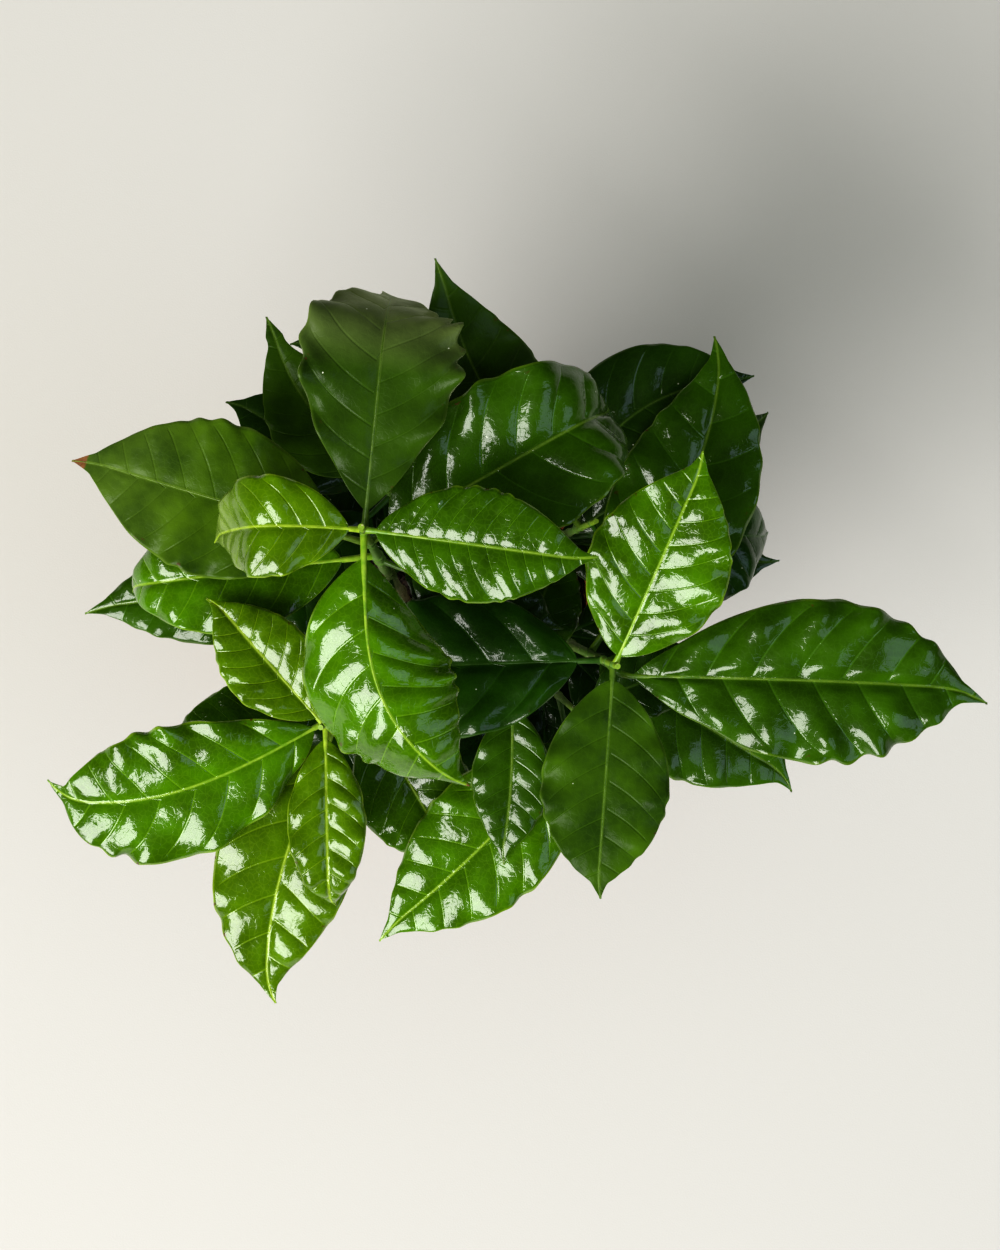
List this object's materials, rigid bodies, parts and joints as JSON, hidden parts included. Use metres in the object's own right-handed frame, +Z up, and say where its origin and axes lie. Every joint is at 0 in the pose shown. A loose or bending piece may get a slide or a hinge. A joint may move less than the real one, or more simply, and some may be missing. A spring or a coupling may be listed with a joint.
{
  "type": "potted coffee plant",
  "caption": "Young coffee plant in a round tapered pot: slender leaning stems carry opposite pairs of glossy, wavy-edged oval leaves with drip tips.",
  "frame": {"origin": "centre of the pot's flat underside, on the floor that it stands on", "axes": "+Z up along the pot's axis, +X to the picture's right along the longest reach of the leaves, +Y towards the picture's top, which is the plant's back"},
  "size_m": [0.3694, 0.2901, 0.349],
  "materials": {
    "terracotta": "matte unglazed",
    "potting_soil": "rough crumbly compost",
    "bark": "matte thin bark",
    "leaves": "glossy leaf"
  },
  "bodies": {
    "root": {"pot": "terracotta", "soil": "potting_soil", "stem_left_tall": "bark", "stem_front_left": "bark", "stem_right": "bark", "stem_back_left": "bark", "stem_back_right": "bark", "stem_front_right": "bark", "stem_middle": "bark", "foliage_left_tall": "leaves", "foliage_front_left": "leaves", "foliage_right": "leaves", "foliage_back_left": "leaves", "foliage_back_right": "leaves", "foliage_front_right": "leaves", "foliage_middle": "leaves"}
  },
  "joints": []
}
